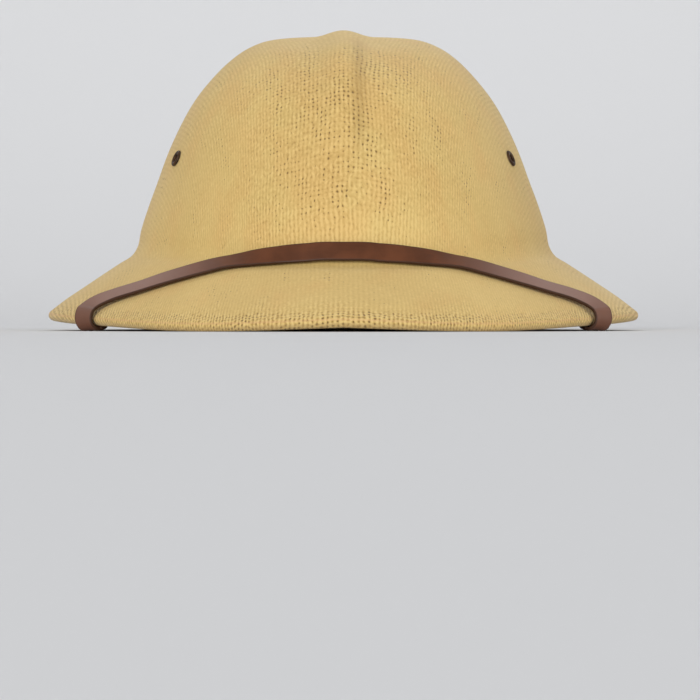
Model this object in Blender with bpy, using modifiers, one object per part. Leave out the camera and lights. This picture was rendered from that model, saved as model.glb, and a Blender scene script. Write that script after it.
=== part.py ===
"""A pith helmet: a pressed shell under woven straw, with a chin strap stowed over the front of its brim.

Metres, +Z up. X runs from side to side, the front looks along -Y, and the helmet rests on z = 0.
"""

import math
from collections import namedtuple

import bmesh
import bpy
import numpy as np
from mathutils import Matrix, Vector

# The crown, measured at its foot, where it meets the brim
CROWN_WIDTH = 0.1955
CROWN_LENGTH = 0.2340
CROWN_TOP = 0.1390
FOOT_FRONT = 0.0300
FOOT_SIDE = 0.0375
FOOT_BACK = 0.0380
WALL = 0.0022

# How far the brim stands out from the crown, and its rolled rim
BRIM_FRONT = 0.0450
BRIM_SIDE = 0.0422
BRIM_BACK = 0.0510
BRIM_BULGE = 0.0006
RIM_THICKNESS = 0.0050
RIM_LIFT = 0.0046
HEM_WIDTH = 0.0100
HEM_STEP = 0.0020

# The raised rib over the top
RIB_WIDTH = 0.0290
RIB_HEIGHT = 0.0030
RIB_FULL_ABOVE = 0.90
RIB_GONE_BELOW = 0.32

# The chin strap
STRAP_WIDTH = 0.0088
STRAP_THICKNESS = 0.0016
STRAP_PAST_RIVET = 0.0060

# The rivets that hold the strap's ends inside
RIVET_HEAD = 0.0070
RIVET_HEAD_HEIGHT = 0.0012
RIVET_SHANK = 0.0026
RIVET_IN_WALL = 0.6 * WALL

# The vent eyelets. The turn is measured from the side, the rise from the foot of the crown to its top.
EYELET_FLANGE = 0.0078
EYELET_BORE = 0.0036
EYELET_METAL = 0.0005
EYELET_HEIGHT = 0.0008
EYELET_TURN = math.radians(25.5)
EYELET_RISE = 0.4150

# What touches stays this far apart
GAP = 0.0003

COLUMNS = 84
ROLL_STEPS = 5
TURNED_STEPS = 18
STRAP_SPANS = 84
STRAP_FINENESS = 40

# Height as a share of the crown's rise, and how far out the wall is there as a share of the foot
Crown = namedtuple("Crown", "rise side front back")
CROWN_ROWS = (
    Crown(1.000, 0.150, 0.030, 0.080),
    Crown(0.997, 0.290, 0.090, 0.180),
    Crown(0.984, 0.385, 0.170, 0.290),
    Crown(0.950, 0.470, 0.285, 0.410),
    Crown(0.890, 0.555, 0.455, 0.535),
    Crown(0.800, 0.645, 0.610, 0.650),
    Crown(0.690, 0.733, 0.730, 0.750),
    Crown(0.570, 0.802, 0.815, 0.830),
    Crown(0.450, 0.857, 0.876, 0.886),
    Crown(0.330, 0.902, 0.922, 0.928),
    Crown(0.200, 0.952, 0.962, 0.964),
    Crown(0.090, 0.988, 0.990, 0.990),
    Crown(0.022, 1.002, 1.002, 1.002),
)

# Way along the brim from the foot to the roll of the rim, and the bulge above the straight line
Brim = namedtuple("Brim", "along bulge")
BRIM_ROWS = (
    Brim(0.06, 0.10),
    Brim(0.20, 0.35),
    Brim(0.38, 0.70),
    Brim(0.56, 0.95),
    Brim(0.78, 1.00),
    Brim(1.00, 0.00),
)
BRIM_ROWS_INSIDE = 4

# Height of the rim's underside as a share of its lift, by the angle from the front
Rim = namedtuple("Rim", "turn lift")
RIM_ROWS = (
    Rim(0.0, 0.36),
    Rim(25.0, 0.00),
    Rim(54.0, 0.56),
    Rim(90.0, 1.00),
    Rim(116.0, 0.45),
    Rim(142.0, 0.00),
    Rim(180.0, 0.00),
)

# The strap's way over the shell, from the middle of the front to its end inside. The turn is the angle from
# the front. The level is 0 at the top, 1 at the foot of the crown, 2 where the rim's roll starts and 3 where
# it ends, 4 at the foot inside and 5 at the top inside. The clearance is a share of the strap's width. From
# a taut row the strap runs straight through the air to the next.
Strap = namedtuple("Strap", "turn level clearance taut")
STRAP_ROWS = (
    Strap(0.0, 0.96, 0.20, False),
    Strap(10.0, 0.98, 0.20, False),
    Strap(20.0, 1.05, 0.17, False),
    Strap(30.0, 1.18, 0.07, False),
    Strap(40.0, 1.43, 0.02, False),
    Strap(47.0, 1.69, 0.02, False),
    Strap(52.5, 1.90, 0.04, False),
    Strap(55.5, 2.10, 0.04, False),
    Strap(55.5, 2.90, 0.02, False),
    Strap(57.0, 3.19, 0.03, True),
    Strap(79.0, 3.93, 0.03, False),
    Strap(80.0, 4.07, 0.03, False),
    Strap(81.0, 4.22, 0.03, False),
)


def through(xs, ys, at):
    """Read a smooth curve through a few points at one place or many."""
    xs = np.asarray(xs, float)
    ys = np.asarray(ys, float)
    slopes = np.gradient(ys, xs)
    index = np.clip(np.searchsorted(xs, at) - 1, 0, len(xs) - 2)
    width = xs[index + 1] - xs[index]
    u = (at - xs[index]) / width
    start = (1 + 2 * u) * (1 - u) ** 2 * ys[index] + u * (1 - u) ** 2 * width * slopes[index]
    end = u * u * (3 - 2 * u) * ys[index + 1] + u * u * (u - 1) * width * slopes[index + 1]
    return start + end


def column(rows, name):
    return np.array([getattr(row, name) for row in rows])


def blend(side, front, back, sine):
    """Go from a value at the sides to another in front or behind."""
    return side + (np.where(sine < 0, front, back) - side) * sine**2


def unit(vectors):
    return vectors / np.linalg.norm(vectors, axis=-1, keepdims=True)


def outer_grid(angles):
    """Points of the outer face on each section, and what the rim needs: its centre, slope and normal."""
    cosine = np.cos(angles)[:, None]
    sine = np.sin(angles)[:, None]
    middle = (BRIM_FRONT - BRIM_BACK) / 2
    half_length = CROWN_LENGTH / 2
    foot = blend(FOOT_SIDE, FOOT_FRONT, FOOT_BACK, sine)

    rise = column(CROWN_ROWS, "rise")
    ends = np.where(sine < 0, column(CROWN_ROWS, "front"), column(CROWN_ROWS, "back"))
    crown = np.stack(
        [
            CROWN_WIDTH / 2 * column(CROWN_ROWS, "side") * cosine,
            half_length * ends * sine + middle,
            foot + rise * (CROWN_TOP - foot),
        ],
        axis=-1,
    )

    radius = RIM_THICKNESS / 2
    turn = np.degrees(np.arccos(np.clip(-sine, -1, 1)))
    lift = RIM_LIFT * np.maximum(through(column(RIM_ROWS, "turn"), column(RIM_ROWS, "lift"), turn), 0)
    rim_half_length = half_length + (BRIM_FRONT + BRIM_BACK) / 2 - radius
    rim_half_width = CROWN_WIDTH / 2 + BRIM_SIDE - radius
    heel = np.concatenate([CROWN_WIDTH / 2 * cosine, half_length * sine + middle, foot], axis=-1)
    centre = np.concatenate([rim_half_width * cosine, rim_half_length * sine, lift + radius], axis=-1)

    # The brim's line starts at the foot and touches the roll of the rim
    across = centre - heel
    run = np.linalg.norm(across[:, :2], axis=-1, keepdims=True)
    reach = np.linalg.norm(across, axis=-1, keepdims=True)
    slope = np.arctan2(across[:, 2:], run) + np.arcsin(radius / reach)
    length = np.sqrt(reach**2 - radius**2)
    out = across[:, :2] / run
    along = np.concatenate([out * np.cos(slope), np.sin(slope)], axis=-1)
    normal = np.concatenate([-out * np.sin(slope), np.cos(slope)], axis=-1)
    shares = column(BRIM_ROWS, "along")[None, :, None]
    bulges = column(BRIM_ROWS, "bulge")[None, :, None]
    brim = heel[:, None] + along[:, None] * shares * length[:, None] + normal[:, None] * bulges * BRIM_BULGE
    return np.concatenate([crown, brim], axis=1), heel, centre, along, normal, length


def shell_grid(angles):
    """Points of the whole section at each angle, from the top outside round the rim to the top inside."""
    step = 1.0e-3
    outer, heel, centre, along, normal, length = outer_grid(angles)
    round_it = outer_grid(angles + step)[0] - outer_grid(angles - step)[0]
    down_it = np.gradient(outer, axis=1)
    facing = unit(np.cross(down_it, round_it))

    # The rib is pressed into the crown, so it lifts the outer face and the inner face alike
    crown_count = len(CROWN_ROWS)
    fade = (column(CROWN_ROWS, "rise") - RIB_GONE_BELOW) / (RIB_FULL_ABOVE - RIB_GONE_BELOW)
    fade = np.clip(fade, 0, 1)
    sideways = np.clip(outer[:, :crown_count, 0] / RIB_WIDTH, -0.5, 0.5)
    rib = RIB_HEIGHT * np.cos(np.pi * sideways) ** 2 * fade**2 * (3 - 2 * fade)
    outer[:, :crown_count] += rib[..., None] * facing[:, :crown_count]

    radius = RIM_THICKNESS / 2
    bends = np.linspace(0, np.pi, ROLL_STEPS + 1)[1:, None]
    roll = centre[:, None] + radius * (normal[:, None] * np.cos(bends) + along[:, None] * np.sin(bends))
    hem = roll[:, -1:] - along[:, None] * HEM_WIDTH
    step_up = heel + along * (length - HEM_WIDTH - HEM_STEP) - normal * WALL
    kept = crown_count + BRIM_ROWS_INSIDE
    inner = (outer - WALL * facing)[:, :kept][:, ::-1]
    return np.concatenate([outer, roll, hem, step_up[:, None], inner], axis=1)


def levels():
    """The level of each point of a section, in the order that shell_grid gives."""
    crown = np.arange(1, len(CROWN_ROWS) + 1) / (len(CROWN_ROWS) + 1)
    brim = 1 + column(BRIM_ROWS, "along")
    roll = 2 + np.linspace(0, 1, ROLL_STEPS + 1)[1:]
    hem = np.array([3.2, 3.25])
    inside = 5 - np.concatenate([crown, brim[:BRIM_ROWS_INSIDE]])[::-1]
    return np.concatenate([crown, brim, roll, hem, inside])


def skin(turn, level, reach):
    """A point on the shell, and the mean direction that the shell faces within this reach of it.

    The turn is the angle from the front, positive towards +X."""
    angle = turn - math.pi / 2
    wide = reach / (BRIM_SIDE + CROWN_WIDTH / 2)
    grid = shell_grid(np.array([angle - wide, angle, angle + wide]))
    known = levels()
    step = reach / BRIM_SIDE

    def at(row, where):
        return np.array([np.interp(where, known, grid[row, :, axis]) for axis in range(3)])

    point = at(1, level)
    facing = unit(np.cross(at(1, level + step) - at(1, level - step), at(2, level) - at(0, level)))
    return Vector(point), Vector(facing)


def material(name, colour, roughness, metallic=0.0):
    made = bpy.data.materials.new(name)
    made.use_nodes = True
    made.diffuse_color = (*colour, 1.0)
    shader = made.node_tree.nodes["Principled BSDF"]
    shader.inputs["Base Color"].default_value = (*colour, 1.0)
    shader.inputs["Roughness"].default_value = roughness
    shader.inputs["Metallic"].default_value = metallic
    return made


def add(name, mesh, collection, finish=None):
    obj = bpy.data.objects.new(name, mesh)
    collection.objects.link(obj)
    if finish:
        mesh.materials.append(finish)
        mesh.shade_smooth()
        mesh.set_sharp_from_angle(angle=math.radians(40))
    return obj


def loft(name, rings, closed_rings, start=None, end=None):
    """A mesh through rings of points, with a tip at each end, or else a flat cap."""
    made = bmesh.new()
    verts = [[made.verts.new(point) for point in ring] for ring in rings]
    count = len(rings[0])
    for upper, lower in zip(verts, verts[1:]):
        for index in range(count if closed_rings else count - 1):
            after = (index + 1) % count
            made.faces.new((upper[index], lower[index], lower[after], upper[after]))
    for tip, ring in ((start, verts[0]), (end, verts[-1][::-1])):
        if tip is None:
            made.faces.new(ring)
            continue
        point = made.verts.new(tip)
        for index in range(count):
            made.faces.new((point, ring[index], ring[(index + 1) % count]))
    mesh = bpy.data.meshes.new(name)
    made.to_mesh(mesh)
    made.free()
    return mesh


def build_shell(collection, finish):
    angles = np.linspace(0, 2 * math.pi, COLUMNS, endpoint=False)
    rings = np.swapaxes(shell_grid(angles), 0, 1)
    middle = (BRIM_FRONT - BRIM_BACK) / 2
    top = (0, middle, CROWN_TOP + RIB_HEIGHT)
    top_inside = (0, middle, CROWN_TOP + RIB_HEIGHT - WALL)
    return add("shell", loft("shell", rings, True, top, top_inside), collection, finish)


def strap_line():
    """Closely spaced points along the strap's middle, with the way that the shell faces there."""
    rows = STRAP_ROWS[:0:-1] + STRAP_ROWS
    places = np.arange(len(rows)) - len(STRAP_ROWS) + 1
    side = np.where(places < 0, -1, 1)
    turns = np.radians(side * column(rows, "turn"))
    fine = np.linspace(places[0], places[-1], STRAP_FINENESS * (len(rows) - 1) + 1)
    points = []
    facings = []
    for at in fine:
        level = through(places, column(rows, "level"), at)
        reach = STRAP_WIDTH / 4 if level < 2 else STRAP_WIDTH / 12
        point, facing = skin(through(places, turns, at), level, reach)
        clearance = max(through(places, column(rows, "clearance"), at), 0) * STRAP_WIDTH
        points.append(point + facing * (GAP + STRAP_THICKNESS / 2 + clearance))
        facings.append(facing)
    points = np.array(points)
    facings = np.array(facings)
    for place, row in enumerate(STRAP_ROWS):
        if not row.taut:
            continue
        for first in (place, -place - 1):
            start = (first - places[0]) * STRAP_FINENESS
            run = slice(start, start + STRAP_FINENESS + 1)
            share = np.linspace(0, 1, STRAP_FINENESS + 1)[:, None]
            for line in (points, facings):
                line[run] = line[run][0] * (1 - share) + line[run][-1] * share
    return points, unit(facings)


def strap_stations():
    """Points along the strap's middle and the way it faces there, closer together on bends."""
    points, facings = strap_line()
    moved = np.linalg.norm(np.diff(points, axis=0), axis=1)
    bent = np.linalg.norm(np.diff(facings, axis=0), axis=1)
    way = np.concatenate([[0], np.cumsum(moved + STRAP_WIDTH * bent)])
    stops = np.linspace(0, way[-1], STRAP_SPANS + 1)
    points = np.stack([np.interp(stops, way, points[:, axis]) for axis in range(3)], axis=1)
    facings = np.stack([np.interp(stops, way, facings[:, axis]) for axis in range(3)], axis=1)
    ahead = unit(np.gradient(points, axis=0))
    across = unit(np.cross(facings, ahead))
    return points, across, np.cross(ahead, across)


def build_strap(collection, finish):
    points, across, facings = strap_stations()
    wide = across * STRAP_WIDTH / 2
    thick = facings * STRAP_THICKNESS / 2
    rings = np.stack(
        [points + wide + thick, points + wide - thick, points - wide - thick, points - wide + thick],
        axis=1,
    )
    return add("chin_strap", loft("chin_strap", rings, True), collection, finish)


def facing_frame(point, facing):
    """The placing of a round piece that stands on a face: its Z axis is the way that the face looks."""
    return Matrix.Translation(point) @ facing.to_track_quat("Z", "Y").to_matrix().to_4x4()


def turned(name, profile, placing, collection, finish):
    """A round solid from the outline of its section, as radius and height, clockwise from above."""
    mesh = bpy.data.meshes.new(name)
    on_axis = [index for index, (radius, _) in enumerate(profile) if radius == 0]
    edges = [(index, (index + 1) % len(profile)) for index in range(len(profile))]
    edges = [edge for edge in edges if not (edge[0] in on_axis and edge[1] in on_axis)]
    mesh.from_pydata([(radius, 0, height) for radius, height in profile], edges, [])
    obj = add(name, mesh, collection)
    obj.matrix_world = placing
    screw = obj.modifiers.new("Turn", "SCREW")
    screw.steps = screw.render_steps = TURNED_STEPS
    screw.use_merge_vertices = True
    screw.merge_threshold = 1.0e-5
    mesh.materials.append(finish)
    return obj


def cut_round(target, name, radius, bottom, top, placing, cutters):
    """Cut a round hole between two heights over the face that the placing stands on."""
    made = bmesh.new()
    middle = Matrix.Translation((0, 0, (bottom + top) / 2))
    bmesh.ops.create_cone(
        made,
        cap_ends=True,
        segments=TURNED_STEPS,
        radius1=radius,
        radius2=radius,
        depth=top - bottom,
        matrix=middle,
    )
    mesh = bpy.data.meshes.new(name)
    made.to_mesh(mesh)
    made.free()
    cutter = add(name, mesh, cutters)
    cutter.matrix_world = placing
    cutter.display_type = "WIRE"
    cutter.hide_render = True
    hole = target.modifiers.new(name, "BOOLEAN")
    hole.operation = "DIFFERENCE"
    hole.object = cutter


def eyelet_profile():
    """Half the section of an eyelet: a rolled flange, a barrel through the wall and a flat flange inside."""
    bore = EYELET_BORE / 2
    barrel = bore + EYELET_METAL
    flange = EYELET_FLANGE / 2
    inner_flange = barrel + 0.6 * (flange - barrel)
    top = GAP + EYELET_HEIGHT
    bottom = -WALL - GAP
    return [
        (bore, GAP + 0.35 * EYELET_HEIGHT),
        (bore + 0.25 * (flange - bore), top),
        (bore + 0.65 * (flange - bore), top),
        (flange, GAP + 0.5 * EYELET_HEIGHT),
        (flange - 0.1 * (flange - bore), GAP),
        (barrel, GAP),
        (barrel, bottom),
        (inner_flange, bottom),
        (inner_flange - 0.3 * EYELET_METAL, bottom - EYELET_METAL),
        (bore, bottom - EYELET_METAL),
    ]


def build_eyelets(shell, collection, cutters, finish):
    """Two vents a side, in front of the middle and behind it."""
    reach = EYELET_FLANGE / 2
    rise = column(CROWN_ROWS, "rise")[::-1]
    crown_levels = levels()[: len(CROWN_ROWS)][::-1]
    level = float(np.interp(EYELET_RISE, rise, crown_levels))
    hole = EYELET_BORE / 2 + EYELET_METAL + GAP
    for lengthwise, ahead in (("front", -1), ("back", 1)):
        for sideways, side in (("right", -1), ("left", 1)):
            turn = side * (math.pi / 2 + ahead * EYELET_TURN)
            placing = facing_frame(*skin(turn, level, reach))
            name = f"eyelet_{lengthwise}_{sideways}"
            turned(name, eyelet_profile(), placing, collection, finish)
            cut_round(shell, f"{name}_hole", hole, -4 * WALL, 4 * WALL, placing, cutters)


def rivet_profile():
    """Half the section of a rivet whose head lies on the strap, with the inside of the wall at height 0."""
    under_head = GAP + STRAP_THICKNESS + GAP
    top = under_head + RIVET_HEAD_HEIGHT
    return [
        (0, top),
        (0.30 * RIVET_HEAD, top - 0.1 * RIVET_HEAD_HEIGHT),
        (0.45 * RIVET_HEAD, top - 0.4 * RIVET_HEAD_HEIGHT),
        (RIVET_HEAD / 2, under_head),
        (RIVET_SHANK / 2, under_head),
        (RIVET_SHANK / 2, -RIVET_IN_WALL),
        (0, -RIVET_IN_WALL),
    ]


def build_rivets(shell, strap, collection, cutters, finish):
    """A rivet inside at each end of the strap, through the strap and into the wall."""
    points, _, facings = strap_stations()
    hole = RIVET_SHANK / 2 + GAP
    for name, order in (("strap_rivet_right", 1), ("strap_rivet_left", -1)):
        ends = points[::order]
        way = np.concatenate([[0], np.cumsum(np.linalg.norm(np.diff(ends, axis=0), axis=1))])
        middle = [np.interp(STRAP_PAST_RIVET, way, ends[:, axis]) for axis in range(3)]
        facing = Vector([np.interp(STRAP_PAST_RIVET, way, facings[::order][:, axis]) for axis in range(3)])
        facing.normalize()
        foot = Vector(middle) - facing * (GAP + STRAP_THICKNESS / 2)
        placing = facing_frame(foot, facing)
        turned(name, rivet_profile(), placing, collection, finish)
        cut_round(shell, f"{name}_hole", hole, -RIVET_IN_WALL - GAP, 2 * GAP, placing, cutters)
        cut_round(strap, f"{name}_strap_hole", hole, 0, 2 * STRAP_THICKNESS, placing, cutters)


def clear_scene():
    for obj in list(bpy.data.objects):
        bpy.data.objects.remove(obj, do_unlink=True)


def new_collection(name):
    made = bpy.data.collections.new(name)
    bpy.context.scene.collection.children.link(made)
    return made


def main():
    clear_scene()
    helmet = new_collection("pith_helmet")
    cutters = new_collection("cutters")
    straw = material("straw", (0.62, 0.42, 0.16), 0.75)
    leather = material("leather", (0.10, 0.040, 0.020), 0.45)
    bronze = material("bronze", (0.12, 0.075, 0.035), 0.40, 0.9)
    shell = build_shell(helmet, straw)
    strap = build_strap(helmet, leather)
    build_eyelets(shell, helmet, cutters, bronze)
    build_rivets(shell, strap, helmet, cutters, bronze)


main()
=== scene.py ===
"""Dresses a pith helmet: woven straw over the pressed shell, a leather strap, bronze eyelets and rivets.

Metres, +Z up. X runs from side to side and the front looks along -Y.
"""

import math
from collections import namedtuple

import bmesh
import bpy
import numpy as np
from bpy.props import FloatProperty, FloatVectorProperty, PointerProperty
from mathutils import Matrix, Vector


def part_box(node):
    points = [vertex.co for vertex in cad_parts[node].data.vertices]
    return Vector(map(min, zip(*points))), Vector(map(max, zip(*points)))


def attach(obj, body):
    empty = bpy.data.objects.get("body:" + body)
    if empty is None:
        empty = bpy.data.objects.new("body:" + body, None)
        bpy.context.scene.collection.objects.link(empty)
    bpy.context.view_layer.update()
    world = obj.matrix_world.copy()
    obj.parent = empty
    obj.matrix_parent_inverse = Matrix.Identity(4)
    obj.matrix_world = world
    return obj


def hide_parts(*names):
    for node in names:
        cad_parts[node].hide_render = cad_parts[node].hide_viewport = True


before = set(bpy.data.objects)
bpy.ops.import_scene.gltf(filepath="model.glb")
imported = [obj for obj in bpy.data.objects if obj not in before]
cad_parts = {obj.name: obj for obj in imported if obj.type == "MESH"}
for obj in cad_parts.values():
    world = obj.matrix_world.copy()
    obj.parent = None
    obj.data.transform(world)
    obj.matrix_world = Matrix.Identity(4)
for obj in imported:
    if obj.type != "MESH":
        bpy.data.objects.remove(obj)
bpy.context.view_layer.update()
SHELL_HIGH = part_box("shell")[1]
EYELETS = [name for name in sorted(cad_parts) if name.startswith("eyelet")]
RIVETS = [name for name in sorted(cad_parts) if name.startswith("strap_rivet")]
INSIDE_POINT = (0.0, 0.0, 0.06)

bl_info = {
    "name": "Pith Helmet",
    "version": (1, 0, 0),
    "blender": (4, 5, 0),
    "location": "3D View > Sidebar > Helmet",
    "description": "Makes a pith helmet of woven straw with its chin strap, eyelets and rivets",
    "category": "Add Mesh",
}

# Height as a share of the crown's rise, and how far out the wall is there as a share of the foot
Crown = namedtuple("Crown", "rise side front back")
CROWN_ROWS = (
    Crown(1.000, 0.150, 0.030, 0.080),
    Crown(0.997, 0.290, 0.090, 0.180),
    Crown(0.984, 0.385, 0.170, 0.290),
    Crown(0.950, 0.470, 0.285, 0.410),
    Crown(0.890, 0.555, 0.455, 0.535),
    Crown(0.800, 0.645, 0.610, 0.650),
    Crown(0.690, 0.733, 0.730, 0.750),
    Crown(0.570, 0.802, 0.815, 0.830),
    Crown(0.450, 0.857, 0.876, 0.886),
    Crown(0.330, 0.902, 0.922, 0.928),
    Crown(0.200, 0.952, 0.962, 0.964),
    Crown(0.090, 0.988, 0.990, 0.990),
    Crown(0.022, 1.002, 1.002, 1.002),
)

# Way along the brim from the foot to the roll of the rim, and the bulge above the straight line
Brim = namedtuple("Brim", "along bulge")
BRIM_ROWS = (
    Brim(0.06, 0.10),
    Brim(0.20, 0.35),
    Brim(0.38, 0.70),
    Brim(0.56, 0.95),
    Brim(0.78, 1.00),
    Brim(1.00, 0.00),
)
BRIM_INSIDE = 0.56

# Height of the rim's underside as a share of its lift, by the angle from the front
Rim = namedtuple("Rim", "turn lift")
RIM_ROWS = (
    Rim(0.0, 0.36),
    Rim(25.0, 0.00),
    Rim(54.0, 0.56),
    Rim(90.0, 1.00),
    Rim(116.0, 0.45),
    Rim(142.0, 0.00),
    Rim(180.0, 0.00),
)

# The strap's way over the shell, from the middle of the front to its end inside: the angle from the front,
# the level on the shell's section, the clearance as a share of the strap's width and, in degrees, how far
# its face leans back. A taut row runs straight.
Strap = namedtuple("Strap", "turn level clearance lean taut")
STRAP_ROWS = (
    Strap(0.0, 0.915, 0.18, 14.0, False),
    Strap(10.0, 0.928, 0.18, 12.0, False),
    Strap(20.0, 1.01, 0.17, 3.0, False),
    Strap(30.0, 1.17, 0.15, -9.0, False),
    Strap(40.0, 1.43, 0.14, -8.0, False),
    Strap(46.0, 1.62, 0.14, -5.0, False),
    Strap(50.6, 1.77, 0.18, -7.0, False),
    Strap(52.9, 1.93, 0.28, -16.0, False),
    Strap(52.5, 2.14, 0.33, -23.0, False),
    Strap(52.3, 2.45, 0.24, -19.0, False),
    Strap(52.3, 2.74, 0.02, 0.0, False),
    Strap(52.8, 2.98, 0.0, 0.0, False),
    Strap(57.0, 3.19, 0.03, 0.0, True),
    Strap(79.0, 3.93, 0.03, 0.0, False),
    Strap(80.0, 4.07, 0.03, 0.0, False),
    Strap(81.0, 4.22, 0.03, 0.0, False),
)

# How many rows of faces each stretch of the shell's section has, and how finely all the pieces are divided
Stretch = namedtuple("Stretch", "outer roll hem step underside")
STRETCHES = Stretch(96, 14, 5, 4, 4)
INSIDE_EVERY = 2
COLUMNS = 480
STRAP_SPANS = 420
STRAP_AROUND = 20
STRAP_FINENESS = 40
TURNED_STEPS = 48
FLANGE_STEPS = 10
HEAD_STEPS = 8
FLOOR_STEPS = 24

# Length of the cutters for the holes, and how close points have to be to become one
CUTTER_DEPTH = 0.016
MERGED = 1.0e-6
FLOOR_MERGED = 1.0e-5

# The slow waves that keep the pressed wall from being quite true
WANDER_WAVES = 14
WANDER_LENGTH = 0.035
WANDER_SEED = 11

# Rows of the cloth for each rib, how much closer than their pitch the ribs stand in front, and the largest
# share by which the cloth closes up there
ROW_SHARE = 0.94
CLOSER_IN_FRONT = 1.06
MOST_CLOSED = 0.45

# Where each trait of the straw shows: its middle and width from side to side, the places from back to
# front and the heights between which it comes in, and the heights between which it fades by a share
Trait = namedtuple("Trait", "name middle width back front foot above below top fade")
TRAITS = (
    Trait("openness", 0.0, 0.042, 0.0, -0.045, 0.040, 0.062, 0.125, 0.139, 1.0),
    Trait("ribbed", 0.0, 0.060, 0.010, -0.050, 0.028, 0.040, 0.118, 0.142, 1.0),
    # crease is painted shade: a narrow darker band down the right flank of the rib on the front of the
    # crown, where the rib shades itself from the key light on the left
    Trait("crease", 0.0068, 0.0028, -0.02, -0.05, 0.072, 0.092, 0.124, 0.136, 0.6),
)

# Distances from the edge of the rim, over the brim, between which each trait there comes in
RIM_BAND = (0.0100, 0.0065)
RIM_STREAKS = (0.0270, 0.0090)
# Painted shade on the rim's lip and everything past it: distances over the brim between which it comes in
LIP_PAINTED_SHADE = (0.0014, 0.0004)
LINE_BELOW = (0.0015, 0.0022)
LINE_ABOVE = (0.0031, 0.0024)

# Distances to the side between which the holes along the rim get fewer
RIM_SIDE = (0.035, 0.095)

# Distances along the strap from its middle between which a painted sheen makes it pale, and then fades so
# that it is dark again
PAINTED_SHEEN_OVER_BRIM = (0.044, 0.094)
SHEEN_FADES_AT_RIM = (0.108, 0.132)

# The floor's half width, its ends, the radius of its bend and how far it goes on upwards
Sheet = namedtuple("Sheet", "half near far bend top")
FLOOR = Sheet(9.0, -9.0, 1.6, 1.0, 5.0)
FLOOR_COLOUR = (0.695, 0.695, 0.70)

Light = namedtuple("Light", "name place aim size power")
LIGHTS = (
    Light("key", (-1.9, -4.1, 1.25), (0.0, 0.0, 0.06), 2.4, 118.0),
    Light("fill", (3.3, -2.7, 1.0), (0.0, 0.0, 0.06), 2.6, 61.0),
    Light("backdrop", (0.0, 0.9, 3.0), (0.0, 2.6, 0.9), 2.4, 22.0),
)
SKY_COLOUR = (0.95, 0.97, 1.0)
SKY_STRENGTH = 0.47
SENSOR_WIDTH = 36


def length_property(name, description, default):
    return FloatProperty(name=name, description=description, default=default, unit="LENGTH")


def colour_property(name, description, default):
    return FloatVectorProperty(name=name, description=description, default=default, subtype="COLOR")


class ShellSizes(bpy.types.PropertyGroup):
    crown_width: length_property("Crown width", "Width of the crown at its foot", 0.1955)
    crown_length: length_property("Crown length", "Length of the crown at its foot", 0.2340)
    crown_middle: length_property("Crown middle", "How far back the crown's middle is", -0.003)
    foot_front: length_property("Front foot", "Height of the crown's foot in front", 0.03)
    foot_side: length_property("Side foot", "Height of the crown's foot at a side", 0.0375)
    foot_back: length_property("Back foot", "Height of the crown's foot behind", 0.038)
    wall: length_property("Wall", "Thickness of the wall", 0.0022)
    brim_bulge: length_property("Brim bulge", "How far the brim bulges", 0.0006)
    rim_thickness: length_property("Rim thickness", "Thickness of the rolled rim", 0.005)
    rim_lift: length_property("Rim lift", "How far the rim rises at the sides", 0.0046)
    hem_width: length_property("Hem width", "Width of the hem under the rim", 0.010)
    hem_step: length_property("Hem step", "Width of the step at the hem's edge", 0.002)
    rib_width: length_property("Rib width", "Width of the rib over the top", 0.029)
    rib_height: length_property("Rib height", "Height of the rib over the top", 0.003)
    rib_full_above: FloatProperty(
        name="Rib full above",
        description="Share of the rise where the rib is full",
        default=0.90,
        subtype="FACTOR",
    )
    rib_gone_below: FloatProperty(
        name="Rib gone below",
        description="Share of the rise where the rib ends",
        default=0.32,
        subtype="FACTOR",
    )
    unevenness: length_property("Unevenness", "How far the wall wanders from true", 0.0003)
    thread_pitch: length_property("Thread pitch", "From one thread to the next", 0.0022)


class StrapSizes(bpy.types.PropertyGroup):
    width: length_property("Width", "Width of the strap", 0.0088)
    thickness: length_property("Thickness", "Thickness of the strap", 0.0016)
    gap: length_property("Gap", "Distance that touching pieces keep", 0.0003)


class MetalSizes(bpy.types.PropertyGroup):
    flange: length_property("Eyelet flange", "Diameter of an eyelet's flange", 0.0078)
    bore: length_property("Eyelet bore", "Diameter of an eyelet's hole", 0.0036)
    metal: length_property("Eyelet metal", "Thickness of an eyelet's metal", 0.0005)
    height: length_property("Eyelet height", "Height of the rolled flange", 0.0008)
    rivet_head: length_property("Rivet head", "Diameter of a rivet's head", 0.0070)
    rivet_height: length_property("Rivet height", "Height of a rivet's head", 0.0012)
    rivet_shank: length_property("Rivet shank", "Diameter of a rivet's shank", 0.0026)


class Finishes(bpy.types.PropertyGroup):
    straw: colour_property("Straw", "The straw threads", (0.575, 0.395, 0.132))
    straw_light: colour_property("Light straw", "Raised threads", (0.70, 0.505, 0.19))
    # The deep straw colour is the straw's own colour between the threads, and it is also the colour of the
    # painted shade down the rib's flank
    straw_deep_and_painted_shade: colour_property("Deep straw", "Between the threads", (0.32, 0.19, 0.048))
    straw_warm: colour_property("Warm straw", "What warm patches are multiplied by", (1.0, 0.94, 0.92))
    hole: colour_property("Hole", "The weave's small holes", (0.15, 0.085, 0.022))
    # The lip colour is painted shade, mixed in from just above the rim's edge over the underside and the
    # inside
    lip: colour_property("Lip", "The rim's worn lip", (0.42, 0.29, 0.13))
    rim_line: colour_property("Rim line", "The line over the lip", (0.62, 0.36, 0.17))
    leather: colour_property("Leather", "The strap's face", (0.094, 0.028, 0.0085))
    # The pale leather colour is a painted sheen: the light caught where the strap faces up over the brim
    leather_painted_sheen: colour_property(
        "Pale leather", "Leather where it is rubbed pale over the brim", (0.255, 0.148, 0.116)
    )
    leather_edge: colour_property("Leather edge", "The cut edges", (0.050, 0.021, 0.011))
    bronze: colour_property("Bronze", "Eyelets and rivets", (0.066, 0.027, 0.006))


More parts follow.
